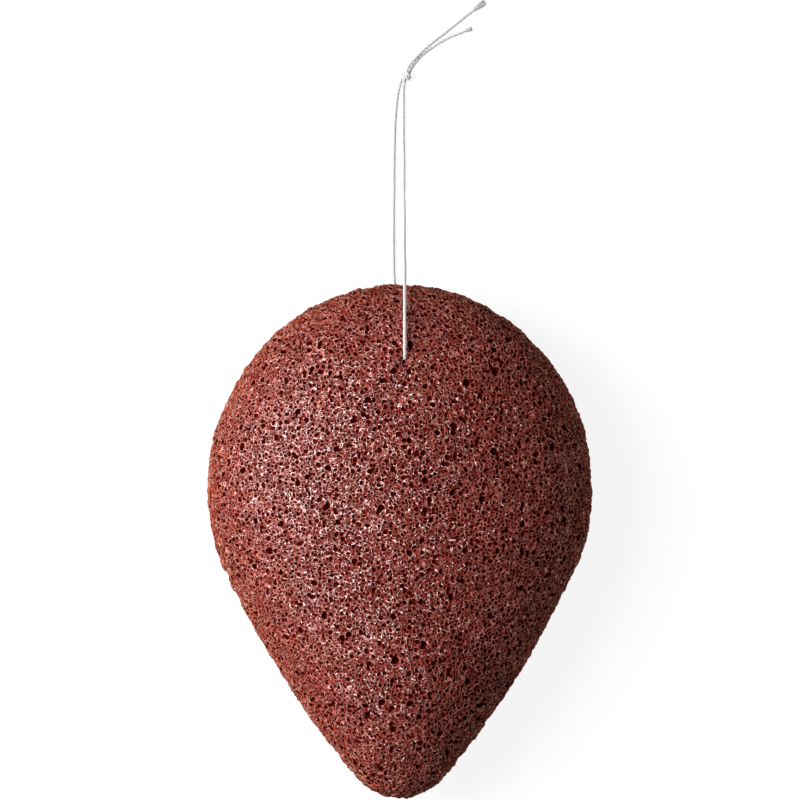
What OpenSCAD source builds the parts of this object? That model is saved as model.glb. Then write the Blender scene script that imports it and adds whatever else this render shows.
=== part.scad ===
// Konjac sponge: a teardrop of vegetable foam with a hanging thread.
// It lies on its flattened back. +Z points out of the domed front and +Y points
// to the round end, which holds the thread. The origin is under the middle of
// the sponge. The thread is looped through one needle hole and knotted, and the
// whole loop swings about that hole.

/* [Sponge] */
// Width across the round end
sponge_w = 80; // [60:0.5:100]
// Length of the round end above the widest line
crown_l = 42.7; // [32:0.1:54]
// Length from the widest line to the centre of the round tip
tip_drop = 51.8; // [40:0.1:66]
// Radius of the round tip
tip_r = 12; // [8:0.1:16]
// Radius of the gently bulged flanks
flank_r = 195.4; // [150:0.1:260]
// Height of the rim above the surface that the sponge lies on
rim_h = 12; // [9:0.5:16]
// Rise of the domed front above the rim
dome_h = 23; // [17:0.5:29]
// Width of the flat patch on the back
rest_w = 33.6; // [24:0.1:44]

/* [Needle hole] */
// Distance of the needle hole to the right of the centre line
hole_x = 1; // [-4:0.1:4]
// Distance of the needle hole from the round end
hole_inset = 15.4; // [12:0.1:20]
// Play between the thread and the wall of the needle hole
hole_play = 0.05; // [0.02:0.01:0.1]
// Width of the dimple where the thread pulls into the front
dimple_w = 2.4; // [1.6:0.1:3.2]
// Depth of that dimple
dimple_depth = 1.2; // [0.8:0.1:1.6]

/* [Thread] */
// Diameter of the twisted thread
thread_d = 0.65; // [0.5:0.01:0.68]
// Width of the overhand knot
knot_w = 2.1; // [1.7:0.1:2.7]
// Diameter of the knot's packed middle
knot_core_d = 1.7; // [1.2:0.1:2.1]
// Turn of the knot to the right of the thread's way
knot_turn_deg = 21; // [0:1:45]
// Lean of the knot's two wraps against each other
wrap_lean_deg = 24; // [10:1:40]

/* [Hidden] */
foam_colour = [0.6, 0.25, 0.2];
thread_colour = [0.94, 0.94, 0.92];

// Counts of points and rings
crown_steps = 16;
shoulder_steps = 4;
flank_steps = 6;
tip_steps = 5;
front_rings = 9;
back_rings = 5;
thread_sides = 8;
round_fn = 64;

// How far a cut runs past a face
overrun = 5;

half_w = sponge_w / 2;
sponge_l = crown_l + tip_drop + tip_r;
wide_y = sponge_l / 2 - crown_l;

// The flank is an arc that runs smoothly into the shoulder's arc above it and
// into the tip's arc below it. flank_back is how far its centre lies behind
// the middle of the widest line.
flank_back = flank_r - half_w;
taper = half_w - tip_r;
shoulder_deg = asin((2 * flank_back * taper - tip_drop * tip_drop + taper * taper)
                    / (2 * flank_back * tip_drop));
flank_at = [-flank_back * cos(shoulder_deg), flank_back * sin(shoulder_deg)];
flank_end_deg = atan2(tip_drop + flank_at.y, -flank_at.x);

// The back is an ellipsoid that is cut off flat
rest_deg = asin(rest_w / sponge_w);
back_depth = rim_h / cos(rest_deg);

hole_y = sponge_l / 2 - hole_inset;
hole_d = thread_d + 2 * hole_play;
hole_share = norm([hole_x / half_w, (hole_y - wide_y) / crown_l]);
hole_top = rim_h + dome_h * sqrt(1 - hole_share * hole_share);

wrap_r = (knot_w - thread_d) / 2;

// The thread's route, from the needle hole: across, along and up
front_route = [
    [0, 0, 28.1], [0, 0, 28.6], [0, 0.2, 29.2], [0, 0.6, 29.6], [0, 1.3, 29.85],
    [0, 2.1, 29.6], [0, 3.5, 28.9], [0, 5.5, 27.8], [0, 7.5, 26.6], [0, 9.5, 25.1],
    [0, 11.5, 23.3], [0, 13, 21.8], [0, 14.5, 20], [0, 16.5, 17.3], [0, 19, 14.1],
    [-0.1, 22, 10.5], [-0.1, 25, 7.2], [-0.1, 28, 4.4], [-0.1, 31, 2.3],
    [-0.2, 34, 1.1], [-0.2, 37.5, 0.5], [-0.2, 41.5, 0.36], [-0.3, 46, 0.36],
    [-0.3, 50.5, 0.36], [-0.3, 55, 0.36], [-0.1, 57.4, 0.5], [0.2, 58.15, 0.8],
];
rear_route = [
    [0, 0, 2.2], [0, 0, 1.7], [0, 0.2, 1], [-0.1, 0.6, 0.57], [-0.2, 1.3, 0.36],
    [-0.5, 3.5, 0.36], [-0.9, 6, 0.36], [-1.3, 8.5, 0.36], [-1.7, 11.5, 0.36],
    [-2, 14, 0.36], [-2.3, 17.5, 0.36], [-2.4, 21.5, 0.36], [-2.4, 26, 0.36],
    [-2.4, 30.5, 0.36], [-2.3, 35, 0.36], [-2.3, 39.5, 0.36], [-2.2, 44, 0.36],
    [-2.1, 48.5, 0.36], [-1.8, 52.5, 0.36], [-1.4, 55.4, 0.36], [-0.8, 57.6, 0.5],
    [-0.35, 58.6, 0.8],
];
knot_at = [0.35, 58.75, 1.06];
long_route = [
    [0.35, 59.3, 1.1], [0.55, 60.2, 1], [1.25, 61.35, 0.85], [2.5, 62.75, 0.8],
    [3.95, 64.2, 0.75], [5.3, 65.35, 0.65], [6.75, 66.5, 0.5], [8.2, 67.6, 0.4],
    [9.7, 68.8, 0.36], [11.2, 70, 0.36], [12.6, 71.15, 0.36], [14.1, 72.3, 0.36],
    [15.8, 73.45, 0.36],
];
short_route = [
    [0.8, 59.1, 0.8], [1.25, 60.1, 0.5], [2.2, 61.5, 0.36], [3.2, 62.65, 0.36],
    [4.65, 63.9, 0.36], [6.1, 64.9, 0.36], [7.55, 65.85, 0.36], [9.1, 66.7, 0.36],
    [10.7, 67.35, 0.36], [12.2, 67.95, 0.36], [13.6, 68.45, 0.36],
];

// Points of an arc or elliptic arc, without the last one
function arc(at, r, from, to, steps) = [
    for (i = [0 : steps - 1])
        let (a = from + (to - from) * i / steps)
        at + [r.x * cos(a), r.y * sin(a)]
];

// Outline of the sponge about the middle of its widest line, clockwise from the
// top: the crown, the shoulder, the flank and the tip, then the same mirrored
right_side = concat(
    arc([0, 0], [half_w, crown_l], 90, 0, crown_steps),
    arc([0, 0], [half_w, half_w], 0, -shoulder_deg, shoulder_steps),
    arc(flank_at, [flank_r, flank_r], -shoulder_deg, -flank_end_deg, flank_steps),
    arc([0, -tip_drop], [tip_r, tip_r], -flank_end_deg, -90, tip_steps)
);
outline = concat(
    right_side,
    [[0, -tip_drop - tip_r]],
    [for (i = [len(right_side) - 1 : -1 : 1]) [-right_side[i].x, right_side[i].y]]
);

// Where the outline's points would lie if the tip's half were a full ellipse, as
// shares of how far out they lie. The rings near the crown take this rounder
// form, so that no ridge runs from the crown to the tip.
egg_shares = [
    for (p = outline)
        let (end = p.y > 0 ? crown_l : tip_drop + tip_r)
        1 / norm([p.x / half_w, p.y / end])
];

// Share of the outline and height of each ring, from the crown of the dome over
// the rim to the flat patch
section = concat(
    [for (i = [1 : front_rings])
        let (a = 90 * i / front_rings)
        [sin(a), rim_h + dome_h * cos(a)]],
    [for (i = [1 : back_rings])
        let (a = 90 + (rest_deg - 90) * i / back_rings)
        [sin(a), rim_h - back_depth * cos(a)]]
);

module pebble() {
    n = len(outline);
    points = concat(
        [[0, wide_y, rim_h + dome_h]],
        [for (ring = section, j = [0 : n - 1])
            let (out = ring[0], way = out * (out + (1 - out) * egg_shares[j]) * outline[j])
            [way.x, way.y + wide_y, ring[1]]]
    );
    cap = [for (j = [0 : n - 1]) [0, 1 + j, 1 + (j + 1) % n]];
    sides = [
        for (k = [0 : len(section) - 2], j = [0 : n - 1])
            let (a = 1 + k * n + j, b = 1 + k * n + (j + 1) % n)
            each [[a, a + n, b + n], [a, b + n, b]]
    ];
    rest = [[for (j = [n - 1 : -1 : 0]) 1 + (len(section) - 1) * n + j]];
    polyhedron(points, concat(cap, sides, rest));
}

module sponge_body() {
    color(foam_colour)
    difference() {
        pebble();
        translate([hole_x, hole_y, -overrun])
            cylinder(h = rim_h + dome_h + 2 * overrun, d = hole_d, $fn = round_fn);
        translate([hole_x, hole_y, hole_top - dimple_depth])
            cylinder(h = 2 * dimple_depth, d1 = hole_d, d2 = 2 * dimple_w - hole_d, $fn = round_fn);
    }
}

function unit(v) = v / norm(v);

// Direction of a route at its point k
function heading(route, k) =
    unit(route[min(k + 1, len(route) - 1)] - route[max(k - 1, 0)]);

// Thread swept along a route, with its rings' first corner turned to the side given
module thread(route, side) {
    n = thread_sides;
    last = len(route) - 1;
    points = [
        for (k = [0 : last])
            let (t = heading(route, k), u = unit(side - (side * t) * t), v = cross(t, u))
            for (j = [0 : n - 1])
                let (a = 360 * j / n)
                route[k] + thread_d / 2 * (u * cos(a) + v * sin(a))
    ];
    start = [[for (j = [0 : n - 1]) j]];
    walls = [
        for (k = [0 : last - 1], j = [0 : n - 1])
            let (a = k * n + j, b = k * n + (j + 1) % n)
            each [[a, a + n, b + n], [a, b + n, b]]
    ];
    end = [[for (j = [n - 1 : -1 : 0]) last * n + j]];
    translate([hole_x, hole_y, 0]) polyhedron(points, concat(start, walls, end));
}

module string_through() {
    from = rear_route[0].z;
    color(thread_colour)
    translate([hole_x, hole_y, from])
        cylinder(h = front_route[0].z - from, d = thread_d, $fn = round_fn);
}

module string_front() {
    color(thread_colour) thread(front_route, [1, 0, 0]);
}

module string_rear() {
    color(thread_colour) thread(rear_route, [1, 0, 0]);
}

module wrap(lean) {
    rotate([90, 0, lean])
        rotate_extrude($fn = round_fn)
            translate([wrap_r, 0]) circle(d = thread_d, $fn = round_fn);
}

module knot() {
    color(thread_colour)
    translate([hole_x, hole_y, 0] + knot_at)
    rotate([0, 0, -knot_turn_deg]) {
        sphere(d = knot_core_d, $fn = round_fn);
        wrap(wrap_lean_deg);
        wrap(-wrap_lean_deg);
    }
}

module tail_long() {
    color(thread_colour) thread(long_route, [0, 0, 1]);
}

module tail_short() {
    color(thread_colour) thread(short_route, [0, 0, 1]);
}

sponge_body();
string_through();
string_front();
string_rear();
knot();
tail_long();
tail_short();
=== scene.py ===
"""Konjac sponge and its knotted cotton thread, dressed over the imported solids.

The sponge lies on its back at z = 0, seen from straight above. Its skin is one closed
mesh whose cells and pores are real hollows. The thread is twisted from three plies.
"""

import math

import bpy
import numpy as np
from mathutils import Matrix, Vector


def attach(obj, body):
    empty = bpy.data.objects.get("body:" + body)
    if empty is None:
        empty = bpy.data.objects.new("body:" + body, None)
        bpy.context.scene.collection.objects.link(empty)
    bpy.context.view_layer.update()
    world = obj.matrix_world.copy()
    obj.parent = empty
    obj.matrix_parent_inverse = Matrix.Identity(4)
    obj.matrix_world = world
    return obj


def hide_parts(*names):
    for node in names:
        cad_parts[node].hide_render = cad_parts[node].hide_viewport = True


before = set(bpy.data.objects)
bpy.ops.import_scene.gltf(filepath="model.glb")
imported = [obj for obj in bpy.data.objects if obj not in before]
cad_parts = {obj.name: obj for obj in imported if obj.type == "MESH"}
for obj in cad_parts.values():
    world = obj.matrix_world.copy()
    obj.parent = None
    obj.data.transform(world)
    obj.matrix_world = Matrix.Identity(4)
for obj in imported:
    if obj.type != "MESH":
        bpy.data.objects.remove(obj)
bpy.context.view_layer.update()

MM = 0.001

# Size of the sponge, as in part.scad, in millimetres
HALF_W = 40.0
CROWN_L = 42.7
TIP_DROP = 51.8
TIP_R = 12.0
FLANK_R = 195.4
RIM_H = 12.0
DOME_H = 23.0
REST_SHARE = 0.42
SPONGE_L = CROWN_L + TIP_DROP + TIP_R
WIDE_Y = SPONGE_L / 2 - CROWN_L
HOLE = np.array([1.0, SPONGE_L / 2 - 15.4, 0.0])

# Thread routes, as in part.scad, in millimetres from the needle hole
FRONT_ROUTE = [
    [0, 0, 28.1], [0, 0, 28.6], [0, 0.2, 29.2], [0, 0.6, 29.6], [0, 1.3, 29.85],
    [0, 2.1, 29.6], [0, 3.5, 28.9], [0, 5.5, 27.8], [0, 7.5, 26.6], [0, 9.5, 25.1],
    [0, 11.5, 23.3], [0, 13, 21.8], [0, 14.5, 20], [0, 16.5, 17.3], [0, 19, 14.1],
    [-0.1, 22, 10.5], [-0.1, 25, 7.2], [-0.1, 28, 4.4], [-0.1, 31, 2.3],
    [-0.2, 34, 1.1], [-0.2, 37.5, 0.5], [-0.2, 41.5, 0.36], [-0.3, 46, 0.36],
    [-0.3, 50.5, 0.36], [-0.3, 55, 0.36], [-0.1, 57.4, 0.5], [0.2, 58.15, 0.8],
]
REAR_ROUTE = [
    [0, 0, 2.2], [0, 0, 1.7], [0, 0.2, 1], [-0.1, 0.6, 0.57], [-0.2, 1.3, 0.36],
    [-0.5, 3.5, 0.36], [-0.9, 6, 0.36], [-1.3, 8.5, 0.36], [-1.7, 11.5, 0.36],
    [-2, 14, 0.36], [-2.3, 17.5, 0.36], [-2.4, 21.5, 0.36], [-2.4, 26, 0.36],
    [-2.4, 30.5, 0.36], [-2.3, 35, 0.36], [-2.3, 39.5, 0.36], [-2.2, 44, 0.36],
    [-2.1, 48.5, 0.36], [-1.8, 52.5, 0.36], [-1.4, 55.4, 0.36], [-0.8, 57.6, 0.5],
    [-0.35, 58.6, 0.8],
]
KNOT_AT = [0.35, 58.75, 1.06]
LONG_ROUTE = [
    [0.35, 59.3, 1.1], [0.55, 60.2, 1], [1.25, 61.35, 0.85], [2.5, 62.75, 0.8],
    [3.95, 64.2, 0.75], [5.3, 65.35, 0.65], [6.75, 66.5, 0.5], [8.2, 67.6, 0.4],
    [9.7, 68.8, 0.36], [11.2, 70, 0.36], [12.6, 71.15, 0.36], [14.1, 72.3, 0.36],
    [15.8, 73.45, 0.36],
]
SHORT_ROUTE = [
    [0.8, 59.1, 0.8], [1.25, 60.1, 0.5], [2.2, 61.5, 0.36], [3.2, 62.65, 0.36],
    [4.65, 63.9, 0.36], [6.1, 64.9, 0.36], [7.55, 65.85, 0.36], [9.1, 66.7, 0.36],
    [10.7, 67.35, 0.36], [12.2, 67.95, 0.36], [13.6, 68.45, 0.36],
]
INSIDE_ROUTE = [[0, 0, 1.9], [0, 0, 10], [0, 0, 20], [0, 0, 28.3]]
KNOT_TURN = math.radians(-21)

# Twist of the thread in millimetres: radius of a ply, how far out it lies, and the
# length in which it turns once
PLIES = 3
PLY_R = 0.230
PLY_OUT = 0.138
LAY = 2.7
PLY_SIDES = 10

# How much wider the plies lie, and how much thinner they are, at a loosened end
END_SPREAD = 0.9
END_THINNING = 0.75

# Yarns of the frayed ends, and stray fibres, in millimetres
YARN_R = 0.085
YARN_SIDES = 6
FIBRE_R = 0.011
FIBRE_SIDES = 4
FIBRE_EVERY = 1.3

# Points of its route that each frayed end covers
LONG_FRAY = 18
SHORT_FRAY = 9

# Marks that set yarns and fibres apart from the plies in the cotton's pattern
YARN_TAG = 10
FIBRE_TAG = 40

# Steps along the thread and along the strands of the knot, in millimetres
THREAD_STEP = 0.12
KNOT_STEP = 0.06

# One strand of the overhand knot about its middle, in millimetres, and the share of
# the strand's shift that each of its points takes
KNOT_STRAND = [
    [-0.10, -1.15, -0.10], [-0.14, -0.70, -0.14], [-0.24, -0.15, -0.18],
    [-0.46, 0.34, 0.02], [-0.34, 0.52, 0.40], [0.02, 0.30, 0.66],
    [0.42, -0.04, 0.56], [0.68, -0.26, 0.12], [0.52, -0.28, -0.38],
    [0.05, -0.12, -0.62], [-0.46, 0.02, -0.48], [-0.70, 0.06, 0.00],
    [-0.42, 0.06, 0.26], [0.00, 0.20, 0.24], [0.28, 0.58, 0.10], [0.36, 1.10, 0.00],
]
KNOT_SHARES = [0.2, 0.4, 0.7, 1, 1, 1, 1, 1, 1, 1, 1, 1, 1, 1, 0.6, 0.3]
KNOT_SHIFTS = ([0.06, 0.22, 0.02], [-0.06, -0.22, -0.02])
KNOT_WIDTH = 0.88
KNOT_PHASE = 1.3

# Pitch of the small cells, the middle pores and the large pores, in millimetres
CELL = 0.78
MID = 1.28
PORE = 2.9

# Radius of a pore: the least, what its draw adds at most, and the power of the draw
MID_R = (0.36, 0.24, 1.2)
PORE_R = (0.54, 0.28, 1.5)

# Depth of a pore, from one whose middle lies above the skin to one whose middle lies
# below it, and the width of its wall
MID_DEPTH = (0.30, 0.55)
PORE_DEPTH = (0.50, 0.95)
PORE_WALL = 0.30

# Share of the pores that are there, and how far they stray from an even grid
OPEN_SHARE = 0.9
SCATTER = 0.85

# Depth of a small cell, given like the radius of a pore, and the distances from its
# edge between which it deepens
CELL_DEPTH = (0.12, 0.42, 1.5)
CELL_WALL = (0.03, 0.20)

# Bend of the cell pattern, slow sinking of the skin, its fine unevenness, and the
# coarser unevenness of its rim: size in millimetres, then shortest and longest wave in
# millimetres and number of waves
SKIN_SEED = 5
WARP = 0.20
WARP_WAVES = (2.0, 5.0, 10)
SINKING = 0.24
SINKING_WAVES = (14, 30, 8)
ROUGHNESS = 0.10
ROUGHNESS_WAVES = (0.8, 2.0, 12)
RIM_ROUGHNESS = 0.22
RIM_WAVES = (1.4, 5.0, 14)

# Needle hole's mouths and the dimple on the front, in millimetres: depth, and distances
# from the hole between which it fades out
BORE = (2.2, 0.30, 0.48)
DIMPLE = (1.05, 0.3, 2.0)

# Short crease beside the dimple, in millimetres: its place from the hole, the way it
# runs, its depth, half length and half width
CREASE_AT = [-0.9, -1.3]
CREASE_WAY = [0.8, 0.6]
CREASE_DEPTH = 0.7
CREASE_LONG = 1.3
CREASE_WIDE = 0.32

# Squares along each side of the grid on the front and on the back
SKIN_GRID = 700

# Charts of the front and the back in the sponge's map: first corner and size
FRONT_CHART = (0.004, 0.004, 0.992, 0.552)
BACK_CHART = (0.004, 0.566, 0.992, 0.430)

# Pitch of the faint web on the cells' slopes and of the facets that catch the lamp, in
# millimetres, and how pale the web is beside the walls
WEB = 0.37
FACET = 0.30
WEB_SHARE = 0.26

# Colours of the foam: its hollows by their depth, darker deeper down as painted shade, and its
# walls, dark and milky, on top and at the side
HOLLOW_REDS_AND_SHADE = [
    (0.0, (0.22, 0.024, 0.016)),
    (0.06, (0.150, 0.011, 0.008)),
    (0.20, (0.105, 0.005, 0.003)),
    (0.50, (0.070, 0.003, 0.002)),
    (1.0, (0.040, 0.002, 0.002)),
]
TOP_DARK = (0.64, 0.108, 0.076, 1.0)
TOP_MILKY = (0.92, 0.34, 0.26, 1.0)
# Side colours: the paler walls towards the rim are painted sheen, and the side shade that
# darkens the hollows there is painted shade
SIDE_DARK_SHEEN = (0.74, 0.165, 0.100, 1.0)
SIDE_MILKY_SHEEN = (0.92, 0.42, 0.30, 1.0)
SIDE_SHADE = (0.55, 0.42, 0.40, 1.0)
WHITE = (1.0, 1.0, 1.0, 1.0)

# Colours of the cotton, from the grooves between its yarns to their crests, slightly darker in
# the grooves as painted shade
COTTON_AND_GROOVE_SHADE = [
    (0.25, (0.87, 0.87, 0.90)),
    (0.5, (0.91, 0.91, 0.93)),
    (0.75, (0.94, 0.94, 0.94)),
]

# Square lamps: way from the sponge to the lamp, length of a side, and power
LAMPS = {
    "key": ((-0.66, 0.14, 0.735), 0.55, 10.4),
    "side": ((-0.94, 0.20, 0.276), 0.50, 3.8),
    "fill": ((0.98, 0.05, 0.22), 0.40, 1.0),
}
LAMP_DISTANCE = 1.0
LAMPS_AIM = (0.0, 0.0, 0.015)


# Camera

def make_camera():
    """Straight above, far off with a long lens, so that nothing shows in perspective."""
    distance = 4.0
    picture_w = 0.16584
    picture_y = 0.02923
    sensor_w = 36.0
    data = bpy.data.cameras.new("Camera")
    data.sensor_width = sensor_w
    data.lens = sensor_w * distance / picture_w
    data.clip_end = 30.0
    camera = bpy.data.objects.new("Camera", data)
    camera.location = (0.0, picture_y, RIM_H * MM + distance)
    bpy.context.collection.objects.link(camera)
    bpy.context.scene.camera = camera


# Mesh tools

class Surface:
    """Collects points and faces of one piece, with the place on its strand of each point."""

    def __init__(self):
        self.points = []
        self.faces = []
        self.strand = []
        self.count = 0

    def add(self, points, faces, strand):
        self.points.append(points)
        self.faces.append(np.asarray(faces) + self.count)
        self.strand.append(strand)
        self.count += len(points)


def mesh_of(name, points, quads):
    """A Blender mesh of these points, in metres, with smooth faces."""
    mesh = bpy.data.meshes.new(name)
    mesh.vertices.add(len(points))
    mesh.vertices.foreach_set("co", np.ascontiguousarray(points, np.float32).ravel())
    quads = np.asarray(quads, np.int32).reshape(-1, 4)
    mesh.loops.add(quads.size)
    mesh.loops.foreach_set("vertex_index", quads.ravel())
    mesh.polygons.add(len(quads))
    mesh.polygons.foreach_set("loop_start", np.arange(len(quads), dtype=np.int32) * 4)
    mesh.update(calc_edges=True)
    mesh.validate()
    mesh.shade_smooth()
    return mesh


def set_point_values(mesh, name, values):
    """A named value, one number or one vector for each point."""
    values = np.ascontiguousarray(values, np.float32)
    kind, key = ("FLOAT", "value") if values.ndim == 1 else ("FLOAT_VECTOR", "vector")
    mesh.attributes.new(name, kind, "POINT")
    mesh.attributes[name].data.foreach_set(key, values.ravel())


def put_in_scene(name, mesh, material):
    piece = bpy.data.objects.new(name, mesh)
    mesh.materials.append(material)
    bpy.context.collection.objects.link(piece)
    return piece


# Thread

def smooth_route(points, step):
    """Points about step apart on a smooth curve through a route's points."""
    p = np.asarray(points, float)
    p = np.vstack([2 * p[0] - p[1], p, 2 * p[-1] - p[-2]])
    out = []
    for a, b, c, d in zip(p[:-3], p[1:-2], p[2:-1], p[3:]):
        n = max(1, math.ceil(np.linalg.norm(c - b) / step))
        t = (np.arange(n) / n)[:, None]
        bend = 2 * a - 5 * b + 4 * c - d + t * (3 * (b - c) + d - a)
        out.append(b + 0.5 * t * (c - a + t * bend))
    out.append(p[-2:-1])
    return np.vstack(out)


def lengths_along(line):
    steps = np.linalg.norm(np.diff(line, axis=0), axis=1)
    return np.concatenate([[0.0], np.cumsum(steps)])


def axes_along(line):
    """Directions along and across a line, without twist."""
    along = np.gradient(line, axis=0)
    along /= np.linalg.norm(along, axis=1)[:, None]
    across = np.empty_like(along)
    side = np.array([1.0, 0.1, 0.2])
    for k, t in enumerate(along):
        side = side - (side @ t) * t
        side /= np.linalg.norm(side)
        across[k] = side
    return along, across, np.cross(along, across)


def add_tube(surface, line, radius, sides, tag):
    """A closed round tube about a line. radius is one number for each of its points, and
    its low caps rise by half of it."""
    along, u, v = axes_along(line)
    a = 2 * math.pi * np.arange(sides) / sides
    ring = np.cos(a)[None, :, None] * u[:, None] + np.sin(a)[None, :, None] * v[:, None]
    points = (line[:, None] + np.asarray(radius)[:, None, None] * ring).reshape(-1, 3)
    n = len(line)
    k = np.arange(n - 1)[:, None] * sides
    j = np.arange(sides)[None, :]
    turned = (j + 1) % sides
    quads = np.stack([k + j, k + turned, k + sides + turned, k + sides + j], -1).reshape(-1, 4)
    s = lengths_along(line)
    round_share = np.arange(sides) / sides
    strand = np.stack(
        [np.repeat(s, sides), np.tile(round_share, n), np.full(n * sides, tag)], 1
    )
    first_tip = line[0] - along[0] * radius[0] * 0.5
    last_tip = line[-1] + along[-1] * radius[-1] * 0.5
    points = np.vstack([points, first_tip, last_tip])
    strand = np.vstack([strand, [[0, 0, tag], [s[-1], 0, tag]]])
    first, last = n * sides, n * sides + 1
    end = (n - 1) * sides
    caps = []
    for c in range(0, sides, 2):
        caps.append([first, (c + 2) % sides, c + 1, c])
        caps.append([last, end + c, end + c + 1, end + (c + 2) % sides])
    surface.add(points, np.vstack([quads, caps]), strand)


def add_rope(surface, line, width, phase=0.0, loosen=0.0):
    """Plies twisted about a line. width scales the thread along its way, and the plies
    run apart over the last loosen millimetres."""
    s = lengths_along(line)
    _, u, v = axes_along(line)
    to_end = s[-1] - s
    spread = np.clip(1 - to_end / loosen, 0, 1) ** 1.5 if loosen else np.zeros(len(s))
    turn = 2 * math.pi * s / LAY + phase
    out = PLY_OUT * width * (1 + END_SPREAD * spread)
    radius = PLY_R * width * (1 - END_THINNING * spread)
    for ply in range(PLIES):
        a = turn + 2 * math.pi * ply / PLIES
        centre = line + out[:, None] * (np.cos(a)[:, None] * u + np.sin(a)[:, None] * v)
        add_tube(surface, centre, radius, PLY_SIDES, ply)


def add_brush(surface, line, half_w, long, seed, yarns):
    """The frayed end of the thread: fine yarns that spread from a waist at the end of a
    line, run out to half_w and close in a little at their tips."""
    rng = np.random.default_rng(seed)
    waist = 0.20
    lift_h = 0.24
    wave_h = 0.03
    floor_gap = 0.09
    start = -0.45
    tip_from = 0.8
    along, _, _ = axes_along(line)
    base_at, way = line[-1], along[-1]
    up = np.array([0.0, 0.0, 1.0])
    side = np.cross(up, way)
    side /= np.linalg.norm(side)
    t = np.linspace(start, 1, 12)
    ahead = np.clip(t, 0, 1)
    spread = waist + (half_w - waist) * np.sin(ahead * math.pi / 2) ** 1.3
    opening = np.where(t < 0, waist + 0.1 * t, spread)
    close = np.where(t > tip_from, 1 - (t - tip_from) * 0.8, 1.0)
    for n in range(yarns):
        share = (n + 0.5) / yarns * 2 - 1 + rng.uniform(-0.08, 0.08)
        lift = lift_h * rng.uniform(-0.5, 0.6)
        reach = long * (0.86 + 0.14 * math.sqrt(max(0.0, 1 - share * share)))
        reach *= rng.uniform(0.95, 1.03)
        wave = wave_h * np.sin(t * 9 + rng.uniform(0, 6.28))
        centre = (
            base_at
            + (t * reach)[:, None] * way
            + ((opening * share * close) + wave)[:, None] * side
            + (lift * np.clip(t + 0.5, 0, 1))[:, None] * up
        )
        centre[:, 2] = np.maximum(centre[:, 2], floor_gap)
        radius = YARN_R * (1 - 0.20 * ahead) * rng.uniform(0.85, 1.15)
        add_tube(surface, centre, radius, YARN_SIDES, YARN_TAG + n)


def add_fuzz(surface, line, seed):
    """Stray fibres that lean out of the thread, except at its ends and at the floor."""
    rng = np.random.default_rng(seed)
    bare_end = 0.8
    thread_r = 0.27
    rise = 0.42
    bend_h = 0.3
    floor_gap = 0.03
    s = lengths_along(line)
    along, u, v = axes_along(line)
    t = np.linspace(0, 1, 6)
    for at in np.arange(bare_end, s[-1] - bare_end, FIBRE_EVERY):
        k = int(np.searchsorted(s, at + rng.uniform(-0.3, 0.3)))
        a = rng.uniform(0, 2 * math.pi)
        out = math.cos(a) * u[k] + math.sin(a) * v[k]
        turn = np.cross(along[k], out)
        long = rng.uniform(0.25, 0.75)
        bend = rng.uniform(-0.9, 0.9)
        centre = (
            line[k]
            + (thread_r + rise * long * t)[:, None] * out
            + (long * t * rng.choice([-1, 1]))[:, None] * along[k]
            + (bend * bend_h * t * t)[:, None] * turn
        )
        if centre[:, 2].min() >= floor_gap:
            add_tube(surface, centre, np.full(len(t), FIBRE_R), FIBRE_SIDES, FIBRE_TAG)


def knot_line(shift):
    """One of the two strands of the overhand knot, shifted from the middle of the knot."""
    p = np.array(KNOT_STRAND) + np.outer(KNOT_SHARES, shift)
    c, s = math.cos(KNOT_TURN), math.sin(KNOT_TURN)
    turned = np.stack([c * p[:, 0] - s * p[:, 1], s * p[:, 0] + c * p[:, 1], p[:, 2]], 1)
    return smooth_route(turned + KNOT_AT, KNOT_STEP)


def width_along(line, lengths, widths):
    """Width of the thread along a line, from its widths at some lengths and at the end."""
    s = lengths_along(line)
    return np.interp(s, [*lengths, s[-1]], widths)


def thread_piece(name, surface, material):
    points = (np.vstack(surface.points) + HOLE) * MM
    points[:, 2] = np.maximum(points[:, 2], 0.0)
    mesh = mesh_of(name, points, np.vstack(surface.faces))
    set_point_values(mesh, "strand", np.vstack(surface.strand))
    piece = put_in_scene(name, mesh, material)
    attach(piece, "loop")
    return piece


def make_inside(material):
    """The stretch in the needle hole."""
    inside = smooth_route(INSIDE_ROUTE, THREAD_STEP)
    surface = Surface()
    add_rope(surface, inside, np.ones(len(inside)), phase=1.0)
    piece = thread_piece("thread_in_hole", surface, material)
    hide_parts("string_through")


def make_knot(material):
    """The overhand knot, with a strand for each of the two free stretches."""
    surface = Surface()
    for n, shift in enumerate(KNOT_SHIFTS):
        line = knot_line(shift)
        add_rope(surface, line, np.full(len(line), KNOT_WIDTH), phase=n * KNOT_PHASE)
    knot = thread_piece("thread_knot", surface, material)
    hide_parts("knot")
    return knot


def make_front_stretch(material):
    """The stretch over the front, with the longer end beyond the knot."""
    front = smooth_route(FRONT_ROUTE + LONG_ROUTE, THREAD_STEP)
    width = width_along(front, [0, 30, 50, 70, 76], [0.98, 0.98, 0.84, 0.80, 0.88, 0.92])
    surface = Surface()
    add_rope(surface, front, width, loosen=3.0)
    add_brush(surface, front[:-LONG_FRAY], half_w=0.68, long=3.2, seed=11, yarns=44)
    add_fuzz(surface, front, seed=12)
    piece = thread_piece("thread_front", surface, material)
    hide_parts("string_front", "tail_long")


def make_rear_stretch(material):
    """The stretch under the back, with the shorter end beyond the knot."""
    rear = smooth_route(REAR_ROUTE + SHORT_ROUTE, THREAD_STEP)
    width = width_along(rear, [0, 30, 56, 61], [0.98, 0.98, 0.95, 0.80, 0.80])
    surface = Surface()
    add_rope(surface, rear, width, phase=0.7, loosen=1.5)
    add_brush(surface, rear[:-SHORT_FRAY], half_w=0.46, long=1.4, seed=21, yarns=28)
    add_fuzz(surface, rear, seed=22)
    piece = thread_piece("thread_rear", surface, material)
    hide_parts("string_rear", "tail_short")


def make_thread(material):
    make_inside(material)
    knot = make_knot(material)
    make_front_stretch(material)
    make_rear_stretch(material)


# Sponge

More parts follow.
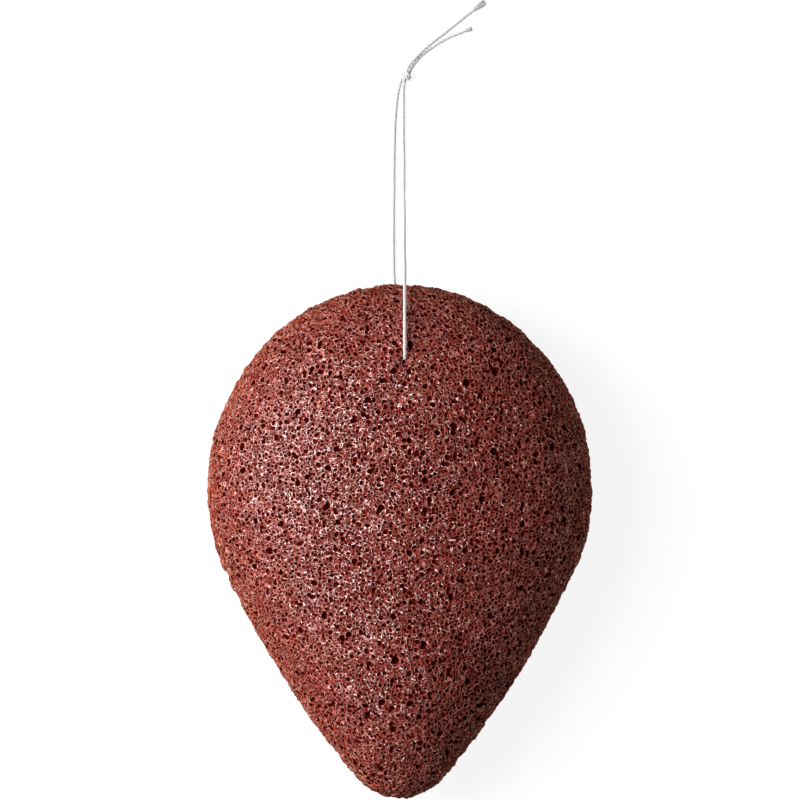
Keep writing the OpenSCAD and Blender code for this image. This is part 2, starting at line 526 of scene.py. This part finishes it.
def outline_table():
    """The way round the outline, clockwise from the top, as shares, and x and y there."""
    arc_points = 1200
    table_points = 8001
    back = FLANK_R - HALF_W
    taper = HALF_W - TIP_R
    shoulder = math.asin(
        (2 * back * taper - TIP_DROP ** 2 + taper ** 2) / (2 * back * TIP_DROP)
    )
    flank_at = np.array([-back * math.cos(shoulder), back * math.sin(shoulder)])
    flank_end = math.atan2(TIP_DROP + flank_at[1], -flank_at[0])
    arcs = [
        ([0, 0], HALF_W, CROWN_L, math.pi / 2, 0),
        ([0, 0], HALF_W, HALF_W, 0, -shoulder),
        (flank_at, FLANK_R, FLANK_R, -shoulder, -flank_end),
        ([0, -TIP_DROP], TIP_R, TIP_R, -flank_end, -math.pi / 2),
    ]
    side = []
    for (x, y), rx, ry, first, last in arcs:
        a = np.linspace(first, last, arc_points)
        side.append(np.stack([x + rx * np.cos(a), y + ry * np.sin(a)], 1))
    side = np.vstack(side)
    whole = np.vstack([side, side[::-1] * [-1, 1]])
    keep = np.concatenate([[True], np.linalg.norm(np.diff(whole, axis=0), axis=1) > 1e-9])
    whole = whole[keep]
    s = lengths_along(whole)
    done = s / s[-1]
    share = np.linspace(0, 1, table_points)
    return share, np.interp(share, done, whole[:, 0]), np.interp(share, done, whole[:, 1])


def even_share(share, height):
    """How far out each point of a section lies when the grid's squares are equal in area."""
    mean_r = 50.0
    band = np.hypot(np.diff(share) * mean_r, np.diff(height)) * (share[1:] + share[:-1]) / 2
    area = np.concatenate([[0.0], np.cumsum(band)])
    return np.sqrt(area / area[-1])


def disc_of_square(n):
    """Radius and turn, each from 0 to 1, of an n by n grid of squares laid on a disc."""
    g = np.linspace(-1, 1, n + 1)
    a, b = np.meshgrid(g, g, indexing="ij")
    radius = np.maximum(np.abs(a), np.abs(b))
    wide = np.abs(a) >= np.abs(b)
    safe_a = np.where(a == 0, 1, a)
    safe_b = np.where(b == 0, 1, b)
    turn = np.where(
        wide,
        np.where(a >= 0, 0, math.pi) + math.pi / 4 * b / safe_a,
        np.where(b >= 0, math.pi / 2, 3 * math.pi / 2) - math.pi / 4 * a / safe_b,
    )
    return radius, (turn / (2 * math.pi)) % 1.0


def skin_points(n):
    """The smooth front and back as two grids of points, in millimetres."""
    section_points = 2001
    radius, turn = disc_of_square(n)
    share_round, outline_x, outline_y = outline_table()
    x = np.interp(turn, share_round, outline_x)
    y = np.interp(turn, share_round, outline_y)
    end = np.where(y > 0, CROWN_L, TIP_DROP + TIP_R)
    egg = 1 / np.hypot(x / HALF_W, y / end)

    a = np.linspace(0, math.pi / 2, section_points)
    share = np.sin(a)
    front_z = RIM_H + DOME_H * np.cos(a)
    back_depth = RIM_H / math.sqrt(1 - REST_SHARE ** 2)
    back_z = np.maximum(RIM_H - back_depth * np.cos(a), 0)
    grids = []
    for z in (front_z, back_z):
        t = even_share(share, z)
        s = np.interp(radius, t, share)
        h = np.interp(radius, t, z)
        way = s * (s + (1 - s) * egg)
        grids.append(np.stack([way * x, way * y + WIDE_Y, h], -1))
    return grids


def skin_mesh(n):
    """Points and faces of one closed skin, whose two grids share the rim, and the number
    of the point at each place of the back's grid."""
    front, back = skin_points(n)
    m = n + 1
    index_front = np.arange(m * m).reshape(m, m)
    inner = np.zeros((m, m), bool)
    inner[1:-1, 1:-1] = True
    index_back = index_front.copy()
    index_back[inner] = m * m + np.arange((n - 1) ** 2)
    points = np.vstack([front.reshape(-1, 3), back[inner]])

    def quads_of(index):
        return np.stack(
            [index[:-1, :-1], index[1:, :-1], index[1:, 1:], index[:-1, 1:]], -1
        ).reshape(-1, 4)

    quads = np.vstack([quads_of(index_front)[:, ::-1], quads_of(index_back)])
    return points, quads, index_back


def set_charts(mesh, n, quads, index_back):
    """Front and back one above the other in one map, so that a bake has no overlaps."""
    m = n + 1
    place = np.arange(index_back.max() + 1)
    place[index_back.ravel()] = np.arange(m * m)
    row, column = np.divmod(place[quads], m)
    uv = np.empty((len(quads), 4, 2), np.float32)
    n_front = n * n
    for side, chart in ((slice(None, n_front), FRONT_CHART), (slice(n_front, None), BACK_CHART)):
        left, bottom, width, height = chart
        uv[side, :, 0] = left + width * (column[side] / n)
        uv[side, :, 1] = bottom + height * (row[side] / n)
    layer = mesh.uv_layers.new(name="OFBake")
    layer.uv.foreach_set("vector", uv.ravel())


def waves(points, rng, shortest, longest, count):
    """Soft pseudo-random field from crossed waves, about -1 to 1."""
    total = np.zeros(len(points))
    for _ in range(count):
        way = rng.normal(size=3)
        way /= np.linalg.norm(way)
        pitch = rng.uniform(shortest, longest)
        total += np.sin(points @ way * (2 * math.pi / pitch) + rng.uniform(0, 2 * math.pi))
    return total / math.sqrt(count / 2) * 0.5


def cell_fields(mesh):
    """Cell patterns at each point, from the same textures that the material uses."""
    tree = bpy.data.node_groups.new("cell_fields", "GeometryNodeTree")
    tree.interface.new_socket("Geometry", in_out="INPUT", socket_type="NodeSocketGeometry")
    tree.interface.new_socket("Geometry", in_out="OUTPUT", socket_type="NodeSocketGeometry")
    nodes, links = tree.nodes, tree.links
    flow = nodes.new("NodeGroupInput").outputs[0]
    rest = nodes.new("GeometryNodeInputNamedAttribute")
    rest.data_type = "FLOAT_VECTOR"
    rest.inputs["Name"].default_value = "rest"

    def store(name, kind, socket):
        nonlocal flow
        node = nodes.new("GeometryNodeStoreNamedAttribute")
        node.data_type = kind
        node.domain = "POINT"
        node.inputs["Name"].default_value = name
        links.new(flow, node.inputs["Geometry"])
        links.new(socket, node.inputs["Value"])
        flow = node.outputs["Geometry"]

    def cells(pitch, feature, scatter):
        node = nodes.new("ShaderNodeTexVoronoi")
        node.voronoi_dimensions = "3D"
        node.feature = feature
        node.inputs["Scale"].default_value = 1 / (pitch * MM)
        node.inputs["Randomness"].default_value = scatter
        links.new(rest.outputs["Attribute"], node.inputs["Vector"])
        return node.outputs

    store("cell_edge", "FLOAT", cells(CELL, "DISTANCE_TO_EDGE", 1.0)["Distance"])
    store("cell_draw", "FLOAT_VECTOR", cells(CELL, "F1", 1.0)["Color"])
    for label, pitch in (("mid", MID), ("pore", PORE)):
        found = cells(pitch, "F1", SCATTER)
        store(label + "_at", "FLOAT_VECTOR", found["Position"])
        store(label + "_draw", "FLOAT_VECTOR", found["Color"])
    links.new(flow, nodes.new("NodeGroupOutput").inputs[0])

    probe = bpy.data.objects.new("probe", mesh)
    bpy.context.collection.objects.link(probe)
    probe.modifiers.new("cells", "NODES").node_group = tree
    got = probe.evaluated_get(bpy.context.evaluated_depsgraph_get()).data
    count = len(mesh.vertices)
    fields = {}
    for name in ("cell_draw", "mid_at", "mid_draw", "pore_at", "pore_draw"):
        values = np.empty(count * 3, np.float32)
        got.attributes[name].data.foreach_get("vector", values)
        fields[name] = values.reshape(-1, 3).astype(float)
    values = np.empty(count, np.float32)
    got.attributes["cell_edge"].data.foreach_get("value", values)
    fields["cell_edge"] = values.astype(float)
    bpy.data.objects.remove(probe)
    bpy.data.node_groups.remove(tree)
    return fields


def smoothstep(low, high, x):
    t = np.clip((x - low) / (high - low), 0, 1)
    return t * t * (3 - 2 * t)


def pore_depth(fields, label, rest, inward, radii, depths):
    """Depth of the round pores of one size at each point, with steep walls and rounded
    floors, and 0 outside them."""
    draw = fields[label + "_draw"]
    least_r, spread, power = radii
    radius = np.where(draw[:, 1] < OPEN_SHARE, least_r + spread * draw[:, 0] ** power, 0.0)
    offset = rest - fields[label + "_at"] / MM
    gap = radius - np.linalg.norm(offset, axis=1)
    along = (offset * inward).sum(1)
    below = np.clip(0.5 - along / (2 * np.maximum(radius, 0.01)), 0, 1)
    least, most = depths
    return smoothstep(0.0, PORE_WALL, gap) * (least + (most - least) * below)


def cell_depth(fields, rest, inward):
    """Depth of the foam's relief: its small cells, and the pores that break into them."""
    least, spread, power = CELL_DEPTH
    floor = smoothstep(*CELL_WALL, fields["cell_edge"] * CELL)
    small = floor * (least + spread * fields["cell_draw"][:, 0] ** power)
    middle = pore_depth(fields, "mid", rest, inward, MID_R, MID_DEPTH)
    large = pore_depth(fields, "pore", rest, inward, PORE_R, PORE_DEPTH)
    return np.maximum(small, np.maximum(middle, large))


def hole_relief(points, on_front):
    """Depth of the needle hole's two mouths, and on the front that of the dimple that the
    thread pulls in and that of the short crease beside it."""
    from_hole = np.hypot(points[:, 0] - HOLE[0], points[:, 1] - HOLE[1])

    def fading(depth, near, far):
        return depth * (1 - smoothstep(near, far, from_hole))

    from_crease = points[:, :2] - (HOLE[:2] + CREASE_AT)
    x, y = CREASE_WAY
    along = from_crease @ [x, y] / CREASE_LONG
    across = from_crease @ [-y, x] / CREASE_WIDE
    crease = CREASE_DEPTH * np.exp(-along ** 2 - across ** 2)
    return fading(*BORE), np.where(on_front, fading(*DIMPLE), 0), np.where(on_front, crease, 0)


def make_sponge(material):
    """The foam: a smooth skin into which cells, pores and the needle hole are sunk, and
    which sinks slowly here and there and has an uneven rim."""
    n = SKIN_GRID
    points, quads, index_back = skin_mesh(n)
    mesh = mesh_of("sponge_skin", points * MM, quads)
    normals = np.empty(len(points) * 3, np.float32)
    mesh.vertex_normals.foreach_get("vector", normals)
    inward = -normals.reshape(-1, 3).astype(float)

    rng = np.random.default_rng(SKIN_SEED)
    warp = np.stack([waves(points, rng, *WARP_WAVES) for _ in range(3)], 1)
    rest = points + WARP * warp
    set_point_values(mesh, "rest", rest * MM)
    depth = cell_depth(cell_fields(mesh), rest, inward)

    swell = 0.5 * (waves(points, rng, *SINKING_WAVES) - 1) * SINKING
    rough = ROUGHNESS * waves(points, rng, *ROUGHNESS_WAVES)
    rimward = 1 - smoothstep(0.05, 0.50, np.abs(inward[:, 2]))
    rough += RIM_ROUGHNESS * rimward * waves(points, rng, *RIM_WAVES)
    bore, dimple, crease = hole_relief(points, inward[:, 2] < 0)
    total = np.maximum(depth, bore) + dimple + crease - swell - rough
    moved = points + inward * total[:, None]
    moved[:, 2] = np.maximum(moved[:, 2], 0.0)
    mesh.vertices.foreach_set("co", (moved * MM).astype(np.float32).ravel())
    mesh.update()
    set_point_values(mesh, "depth", depth)
    set_point_values(mesh, "facing", -inward)
    set_charts(mesh, n, quads, index_back)

    sponge = put_in_scene("sponge_skin", mesh, material)
    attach(sponge, "sponge")
    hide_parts("sponge_body")


# Materials

class Nodes:
    """Short calls for the nodes of one material."""

    def __init__(self, name):
        self.material = bpy.data.materials.new(name)
        self.material.use_nodes = True
        self.tree = self.material.node_tree
        self.tree.nodes.clear()

    def new(self, kind, settings=None, **inputs):
        node = self.tree.nodes.new(kind)
        for key, value in (settings or {}).items():
            setattr(node, key, value)
        for key, value in inputs.items():
            self.put(node.inputs[key.replace("_", " ")], value)
        return node

    def put(self, socket, value):
        if isinstance(value, bpy.types.NodeSocket):
            self.tree.links.new(value, socket)
        else:
            socket.default_value = value

    def math(self, operation, a, b=0.0, clamp=False):
        node = self.new("ShaderNodeMath", {"operation": operation, "use_clamp": clamp})
        self.put(node.inputs[0], a)
        self.put(node.inputs[1], b)
        return node.outputs[0]

    def vector(self, operation, a, b=None):
        node = self.new("ShaderNodeVectorMath", {"operation": operation})
        self.put(node.inputs[0], a)
        if b is not None:
            self.put(node.inputs[1], b)
        return node.outputs[0]

    def length(self, a):
        node = self.new("ShaderNodeVectorMath", {"operation": "LENGTH"})
        self.put(node.inputs[0], a)
        return node.outputs["Value"]

    def scaled(self, a, by):
        node = self.new("ShaderNodeVectorMath", {"operation": "SCALE"}, Scale=by)
        self.put(node.inputs[0], a)
        return node.outputs[0]

    def attribute(self, name, output):
        node = self.new("ShaderNodeAttribute", {"attribute_name": name})
        return node.outputs[output]

    def span(self, value, low, high, to_low=0.0, to_high=1.0):
        node = self.new("ShaderNodeMapRange", {"interpolation_type": "SMOOTHSTEP"})
        for k, v in enumerate((value, low, high, to_low, to_high)):
            self.put(node.inputs[k], v)
        return node.outputs[0]

    def mix(self, share, a, b, blend="MIX"):
        node = self.new("ShaderNodeMix", {"data_type": "RGBA", "blend_type": blend})
        self.put(node.inputs["Factor"], share)
        self.put(node.inputs[6], a)
        self.put(node.inputs[7], b)
        return node.outputs[2]

    def ramp(self, value, stops):
        node = self.tree.nodes.new("ShaderNodeValToRGB")
        band = node.color_ramp
        while len(band.elements) < len(stops):
            band.elements.new(0.5)
        for element, (at, colour) in zip(band.elements, stops):
            element.position = at
            element.color = (*colour, 1.0)
        self.put(node.inputs[0], value)
        return node.outputs[0]

    def noise(self, vector, scale, detail=2.0, roughness=0.5):
        node = self.new(
            "ShaderNodeTexNoise", Vector=vector, Scale=scale, Detail=detail, Roughness=roughness
        )
        return node.outputs[0]

    def cells(self, vector, pitch, feature, scatter=1.0):
        """Outputs of a cell pattern whose pitch is given in millimetres."""
        node = self.new(
            "ShaderNodeTexVoronoi", {"feature": feature}, Vector=vector,
            Scale=1 / (pitch * MM), Randomness=scatter,
        )
        return node.outputs

    def bump(self, height, strength, distance):
        node = self.new("ShaderNodeBump", Strength=strength, Distance=distance, Height=height)
        return node.outputs[0]

    def finish(self, shader):
        output = self.tree.nodes.new("ShaderNodeOutputMaterial")
        self.tree.links.new(shader, output.inputs["Surface"])
        return self.material


def foam_walls(n, rest, depth):
    """How much each spot is wall, from the walls between the cells and round the pores to
    the faint web on the cells' slopes, and how much it is open pore."""

    def pores(pitch, least, spread, power):
        """Masks of the round pores that make_sponge has sunk and of their rims."""
        found = n.cells(rest, pitch, "F1", SCATTER)
        draw = n.new("ShaderNodeSeparateXYZ", Vector=found["Color"])
        radius = n.math("MULTIPLY", n.math("POWER", draw.outputs[0], power), spread)
        radius = n.math("MULTIPLY", n.math("ADD", radius, least), MM)
        apart = n.vector("SUBTRACT", rest, found["Position"])
        gap = n.math("SUBTRACT", radius, n.length(apart))
        there = n.math("LESS_THAN", draw.outputs[1], OPEN_SHARE)
        inside = n.math("MULTIPLY", n.span(gap, 0.0, 0.06 * MM), there)
        rim = n.math("MULTIPLY", n.span(gap, -0.13 * MM, -0.04 * MM), there)
        return inside, rim

    middle, middle_rim = pores(MID, *MID_R)
    large, large_rim = pores(PORE, *PORE_R)
    opened = n.math("MAXIMUM", middle, large)
    closed = n.math("SUBTRACT", 1.0, opened)

    cell_edge = n.cells(rest, CELL, "DISTANCE_TO_EDGE")["Distance"]
    rim = n.math("MAXIMUM", middle_rim, large_rim)
    wall = n.math("MAXIMUM", n.span(cell_edge, 0.025, 0.10, 1.0, 0.0), rim)
    patchy = n.span(n.noise(rest, 1100.0), 0.34, 0.56, 0.35, 1.0)
    wall = n.math("MULTIPLY", n.math("MULTIPLY", wall, closed), patchy)

    web_edge = n.cells(rest, WEB, "DISTANCE_TO_EDGE")["Distance"]
    web = n.math("MULTIPLY", n.span(web_edge, 0.03, 0.12, WEB_SHARE, 0.0), closed)
    web = n.math("MULTIPLY", web, n.span(depth, 0.10, 0.45, 1.0, 0.2))
    return n.math("MAXIMUM", wall, web, clamp=True), opened


def foam_colour(n, rest, depth, facing, wall, opened):
    """Dark red hollows, darker with depth as painted shade, between red walls with milky
    patches;
    where the sponge turns to its side the walls are paler, a painted sheen, and the hollows
    darker, a painted shade."""
    upward = n.new("ShaderNodeSeparateXYZ", Vector=facing).outputs[2]
    # Towards the rim the walls turn paler, a painted sheen, and the hollows darker, a painted
    # shade
    rimward = n.span(upward, 0.15, 0.80, 1.0, 0.0)
    milk = n.span(n.noise(rest, 800.0), 0.40, 0.66)
    top_colour = n.mix(milk, TOP_DARK, TOP_MILKY)
    side_sheen_colour = n.mix(milk, SIDE_DARK_SHEEN, SIDE_MILKY_SHEEN)
    wall_colour = n.mix(rimward, top_colour, side_sheen_colour)

    # The hollows' red darkens with depth and inside the pores, as painted shade
    sunk = n.math("MAXIMUM", depth, n.math("MULTIPLY", opened, 0.35))
    shade = n.mix(rimward, WHITE, SIDE_SHADE)
    hollow_shaded = n.mix(1.0, n.ramp(sunk, HOLLOW_REDS_AND_SHADE), shade, "MULTIPLY")

    colour = n.mix(wall, hollow_shaded, wall_colour)
    tint = n.span(n.noise(rest, 160.0, 3.0), 0.3, 0.7, 0.80, 1.0)
    return n.mix(1.0, colour, n.ramp(tint, [(0, (0, 0, 0)), (1, (1, 1, 1))]), "MULTIPLY")


def foam_facets(n, rest, facing):
    """Normals for the gloss: small facets of the walls turn their own way, so that single
    ones catch the lamp."""
    half = (0.5, 0.5, 0.5)
    facet = n.cells(rest, FACET, "F1")["Color"]
    wander = n.new("ShaderNodeTexNoise", Vector=rest, Scale=1500.0, Detail=1.0).outputs["Color"]
    to_world = n.new(
        "ShaderNodeVectorTransform",
        {"vector_type": "NORMAL", "convert_from": "OBJECT", "convert_to": "WORLD"},
        Vector=facing,
    ).outputs[0]
    lean = n.vector(
        "ADD",
        n.scaled(n.vector("SUBTRACT", facet, half), 0.35),
        n.scaled(n.vector("SUBTRACT", wander, half), 3.0),
    )
    return n.vector("NORMALIZE", n.vector("ADD", to_world, lean))


def foam_material():
    """Red clay foam: pale cell walls, dark red hollows that darken with depth as painted shade,
    and a wet-looking gloss.
    """
    n = Nodes("konjac_foam")
    rest = n.attribute("rest", "Vector")
    depth = n.attribute("depth", "Fac")
    facing = n.attribute("facing", "Vector")
    wall, opened = foam_walls(n, rest, depth)
    colour = foam_colour(n, rest, depth, facing, wall, opened)

    # The gloss lies on the crests of the walls and fades where they are seen edge-on
    gloss = n.math("MULTIPLY", n.span(wall, 0.1, 0.5), n.span(depth, 0.10, 0.45, 1.0, 0.0))
    edge_on = n.new("ShaderNodeLayerWeight", Blend=0.5).outputs["Facing"]
    gloss = n.math("MULTIPLY", gloss, n.span(edge_on, 0.12, 0.42, 1.0, 0.03))

    rough = n.span(depth, 0.0, 0.4, 0.35, 0.60)
    grain = n.noise(rest, 3600.0)
    height = n.math("ADD", n.math("MULTIPLY", wall, 0.6), n.math("MULTIPLY", grain, 0.3))
    shader = n.new(
        "ShaderNodeBsdfPrincipled", Base_Color=colour, Roughness=rough,
        Normal=n.bump(height, 0.5, 0.12 * MM),
        Coat_Weight=gloss, Coat_Normal=foam_facets(n, rest, facing),
    )
    shader.inputs["Specular IOR Level"].default_value = 0.0
    shader.inputs["Coat IOR"].default_value = 2.5
    shader.inputs["Coat Roughness"].default_value = 0.33
    return n.finish(shader.outputs[0])


def cotton_material():
    """White twisted cotton with fine yarns along each ply."""
    n = Nodes("cotton_thread")
    strand = n.attribute("strand", "Vector")
    along, across, tag = n.new("ShaderNodeSeparateXYZ", Vector=strand).outputs
    # Long streaks run along the ply with a slow turn, and differ from ply to ply
    lane = n.math("ADD", n.math("MULTIPLY", along, 0.9), across)
    streaks = n.new("ShaderNodeCombineXYZ")
    for socket, value, scale in zip(streaks.inputs, (along, lane, tag), (0.6, 9.0, 7.3)):
        n.put(socket, n.math("MULTIPLY", value, scale))
    yarn = n.noise(streaks.outputs[0], 1.0, 3.0, 0.6)
    # Darker where the yarn's bump is low: painted shade in the grooves
    colour = n.ramp(yarn, COTTON_AND_GROOVE_SHADE)
    normal = n.bump(yarn, 0.4, 0.06 * MM)
    rough = n.span(yarn, 0.3, 0.7, 0.9, 0.7)
    shader = n.new(
        "ShaderNodeBsdfPrincipled", Base_Color=colour, Roughness=rough, Normal=normal
    )
    shader.inputs["Specular IOR Level"].default_value = 0.3
    shader.inputs["Sheen Weight"].default_value = 0.25
    shader.inputs["Sheen Roughness"].default_value = 0.5
    shader.inputs["Subsurface Weight"].default_value = 0.6
    shader.inputs["Subsurface Radius"].default_value = (1.0, 1.0, 1.0)
    shader.inputs["Subsurface Scale"].default_value = 0.3 * MM
    return n.finish(shader.outputs[0])


# Floor and light

def floor_material():
    """White to the camera, with the object's soft shadow, a stronger shadow to gloss, and
    a plain white for the light that it throws back."""
    n = Nodes("floor_white")
    path = n.new("ShaderNodeLightPath")

    def lit(share):
        return n.new("ShaderNodeBsdfDiffuse", Color=(share, share, share, 1.0)).outputs[0]

    def white(lit_share, glow):
        """A white that is partly lit, so that shadows show on it, and partly its own."""
        own = n.new("ShaderNodeEmission", Color=WHITE, Strength=glow)
        both = n.new("ShaderNodeAddShader")
        n.put(both.inputs[0], lit(lit_share))
        n.put(both.inputs[1], own.outputs[0])
        return both.outputs[0]

    def choose(share, otherwise, shader):
        node = n.new("ShaderNodeMixShader", Fac=share)
        n.put(node.inputs[1], otherwise)
        n.put(node.inputs[2], shader)
        return node.outputs[0]

    shiny = n.math(
        "ADD", path.outputs["Is Glossy Ray"], path.outputs["Is Transmission Ray"], clamp=True
    )
    unseen = choose(shiny, lit(0.80), white(lit_share=0.70, glow=0.35))
    # Far from the lamps its own white makes up for their light
    away = n.length(n.new("ShaderNodeTexCoord").outputs["Object"])
    glow = n.span(away, 0.25, 0.60, 0.89, 1.0)
    seen = white(lit_share=0.20, glow=glow)
    return n.finish(choose(path.outputs["Is Camera Ray"], unseen, seen))


def make_floor():
    half = 20.0
    drop = 0.00002
    mesh = bpy.data.meshes.new("floor")
    corners = [(-half, -half, 0), (half, -half, 0), (half, half, 0), (-half, half, 0)]
    mesh.from_pydata(corners, [], [(0, 1, 2, 3)])
    floor = put_in_scene("floor", mesh, floor_material())
    floor.location.z = -drop


def make_world():
    """A faint even light from all sides."""
    world = bpy.data.worlds.new("studio")
    world.use_nodes = True
    background = world.node_tree.nodes["Background"]
    background.inputs["Color"].default_value = WHITE
    background.inputs["Strength"].default_value = 0.035
    bpy.context.scene.world = world


def add_softbox(name, way, size, power):
    """A square lamp that looks at the middle of the sponge from that way."""
    data = bpy.data.lights.new(name, "AREA")
    data.shape = "SQUARE"
    data.size = size
    data.energy = power
    lamp = bpy.data.objects.new(name, data)
    way = np.array(way, float)
    way /= np.linalg.norm(way)
    at = np.array(LAMPS_AIM) + way * LAMP_DISTANCE
    lamp.location = at.tolist()
    lamp.rotation_mode = "QUATERNION"
    lamp.rotation_quaternion = Vector((-way).tolist()).to_track_quat("-Z", "Y")
    lamp.visible_camera = False
    bpy.context.collection.objects.link(lamp)
    return lamp


def make_lights():
    """The lamps, of which the fill only softens shadows and shows in no gloss."""
    lamps = {name: add_softbox(name, *values) for name, values in LAMPS.items()}
    lamps["fill"].visible_glossy = False


make_camera()
make_thread(cotton_material())
make_sponge(foam_material())
make_floor()
make_world()
make_lights()
bpy.context.scene.view_settings.view_transform = "Standard"
